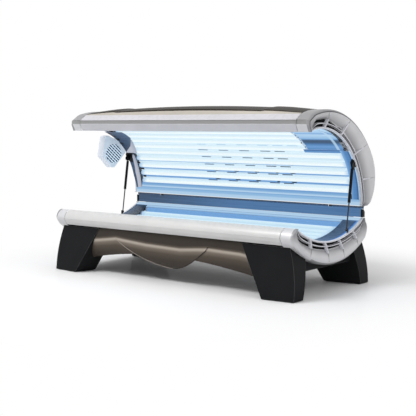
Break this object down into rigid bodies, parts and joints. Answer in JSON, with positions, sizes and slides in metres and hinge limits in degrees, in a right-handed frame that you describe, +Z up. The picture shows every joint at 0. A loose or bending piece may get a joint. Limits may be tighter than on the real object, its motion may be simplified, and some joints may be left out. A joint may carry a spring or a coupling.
{
  "type": "clamshell tanning bed",
  "caption": "Clamshell tanning bed: a lamp tub on two black leg saddles, and a lamp canopy that swings on a rear hinge, held open by gas struts.",
  "frame": {"origin": "on the floor, under the middle of the opened bed's bounding box", "axes": "+X along the bed to the head end with the facial lamps, +Y from the open front to the hinge, +Z up"},
  "size_m": [2.306, 1.1828, 1.3179],
  "materials": {
    "leg_black": "fine-grained black moulded plastic",
    "glide_rubber": "flat black glide pads",
    "bolt_steel": "zinc-plated bolts",
    "frame_steel": "black powder-coated steel",
    "pan_grey": "dark grey moulded pan",
    "grille_black": "black moulded grille",
    "bronze": "bronze metallic lacquer on a moulded panel",
    "rail_silver": "satin silver extruded rail",
    "moulding_silver": "silver lacquered moulding",
    "acrylic": "clear acrylic",
    "panel_blue": "dark blue paint",
    "reflector": "bright rolled aluminium",
    "lamp_tube": "white fluorescent tubes",
    "holder_black": "black lamp sockets",
    "ballast_paint": "varnished ballasts",
    "fan_black": "black fan plastic",
    "box_grey": "grey terminal box",
    "gland_black": "black nylon gland",
    "strip_blue": "steel-blue strip",
    "cap_black": "black end caps",
    "pin_steel": "turned steel",
    "strut_black": "black lacquered steel",
    "rod_dark": "dark nitrided steel rod",
    "window_blue": "blue filter glass",
    "pod_grey": "light grey moulding",
    "louvre_grey": "dark grey slats",
    "control_dark": "dark control parts"
  },
  "bodies": {
    "base": {"leg_saddle_left": "leg_black", "leg_saddle_right": "leg_black", "floor_glides": "glide_rubber", "leg_bolts": "bolt_steel", "base_frame": "frame_steel", "belly_pan": "pan_grey", "intake_grille": "grille_black", "front_valance": "bronze", "centre_valance": "bronze", "lower_front_rail": "rail_silver", "base_end_moulding_left": "moulding_silver", "base_end_moulding_right": "moulding_silver", "base_vent_screens": "grille_black", "bench_sheet": "acrylic", "bench_end_panels": "panel_blue", "bench_reflector": "reflector", "bench_lamps": "lamp_tube", "bench_lamp_holders": "holder_black", "base_ballasts": "ballast_paint", "base_fan_housing": "fan_black", "terminal_box": "box_grey", "cable_gland": "gland_black", "base_rear_rail": "frame_steel", "rear_strip": "strip_blue", "hinge_covers": "cap_black", "hinge_pins": "pin_steel", "strut_feet": "pin_steel"},
    "canopy": {"strut_heads": "pin_steel", "canopy_cover": "bronze", "exhaust_grille": "grille_black", "upper_front_rail": "rail_silver", "canopy_rear_rail": "rail_silver", "canopy_end_moulding_left": "moulding_silver", "canopy_end_moulding_right": "moulding_silver", "canopy_vent_screens": "grille_black", "canopy_frame": "frame_steel", "canopy_reflector": "reflector", "canopy_lamps": "lamp_tube", "canopy_lamp_holders": "holder_black", "canopy_sheet": "acrylic", "canopy_end_panels": "panel_blue", "facial_window": "window_blue", "facial_box": "reflector", "facial_lamps": "lamp_tube", "canopy_ballasts": "ballast_paint", "canopy_fan_housing": "fan_black", "body_fan_pod": "pod_grey", "body_fan_louvre": "louvre_grey", "body_fan_motor": "fan_black", "air_duct_cover": "pod_grey", "control_plate": "pod_grey"},
    "base_fan_rotor_body": {"base_fan_rotor": "fan_black"},
    "canopy_fan_rotor_body": {"canopy_fan_rotor": "fan_black"},
    "body_fan_rotor_body": {"body_fan_rotor": "fan_black"},
    "start_button_body": {"start_button": "control_dark"},
    "speed_knob_body": {"speed_knob": "control_dark"},
    "strut_rod_left_body": {"strut_rod_left": "rod_dark"},
    "strut_rod_right_body": {"strut_rod_right": "rod_dark"},
    "strut_cylinder_left_body": {"strut_cylinder_left": "strut_black"},
    "strut_cylinder_right_body": {"strut_cylinder_right": "strut_black"}
  },
  "joints": [
    {"name": "canopy_hinge", "type": "hinge", "parent": "base", "child": "canopy", "pos_m": [0, 0.40782, 0.592], "axis": [1, 0, 0], "range_deg": [0, 40], "stiffness_Nm_per_rad": 233, "springref_deg": -61.59},
    {"name": "strut_pivot_left", "type": "hinge", "parent": "base", "child": "strut_rod_left_body", "pos_m": [-1.116, 0.18382, 0.418], "axis": [1, 0, 0], "range_deg": [0, 24]},
    {"name": "strut_slide_left", "type": "slide", "parent": "strut_rod_left_body", "child": "strut_cylinder_left_body", "axis": [0, 0.1531, 0.9882], "range_m": [-0.165, 0]},
    {"name": "strut_pivot_right", "type": "hinge", "parent": "base", "child": "strut_rod_right_body", "pos_m": [1.116, 0.18382, 0.418], "axis": [1, 0, 0], "range_deg": [0, 24]},
    {"name": "strut_slide_right", "type": "slide", "parent": "strut_rod_right_body", "child": "strut_cylinder_right_body", "axis": [0, 0.1531, 0.9882], "range_m": [-0.165, 0]},
    {"name": "base_fan_spin", "type": "hinge", "parent": "base", "child": "base_fan_rotor_body", "pos_m": [0.45, -0.03518, 0.233], "axis": [0, 0, 1], "continuous": true},
    {"name": "canopy_fan_spin", "type": "hinge", "parent": "canopy", "child": "canopy_fan_rotor_body", "pos_m": [0.3, 0.43812, 0.78842], "axis": [0, 0.9511, 0.309], "continuous": true},
    {"name": "body_fan_spin", "type": "hinge", "parent": "canopy", "child": "body_fan_rotor_body", "pos_m": [-1.1, 0.04379, 0.93001], "axis": [1, 0, 0], "continuous": true},
    {"name": "start_button_push", "type": "slide", "parent": "canopy", "child": "start_button_body", "axis": [0, 0.5948, 0.8039], "range_m": [0, 0.0015], "stiffness_N_per_m": 300, "springref_m": -0.0015},
    {"name": "speed_knob_turn", "type": "hinge", "parent": "canopy", "child": "speed_knob_body", "pos_m": [1.1025, 0.17021, 1.00464], "axis": [0, 0.6561, 0.7547], "range_deg": [-135, 135]}
  ],
  "couplings": [
    {"joint": "strut_pivot_left", "follows": "canopy_hinge", "ratio": 0.59198},
    {"joint": "strut_slide_left", "follows": "canopy_hinge", "m_per_rad": -0.23054},
    {"joint": "strut_pivot_right", "follows": "canopy_hinge", "ratio": 0.59198},
    {"joint": "strut_slide_right", "follows": "canopy_hinge", "m_per_rad": -0.23054}
  ]
}
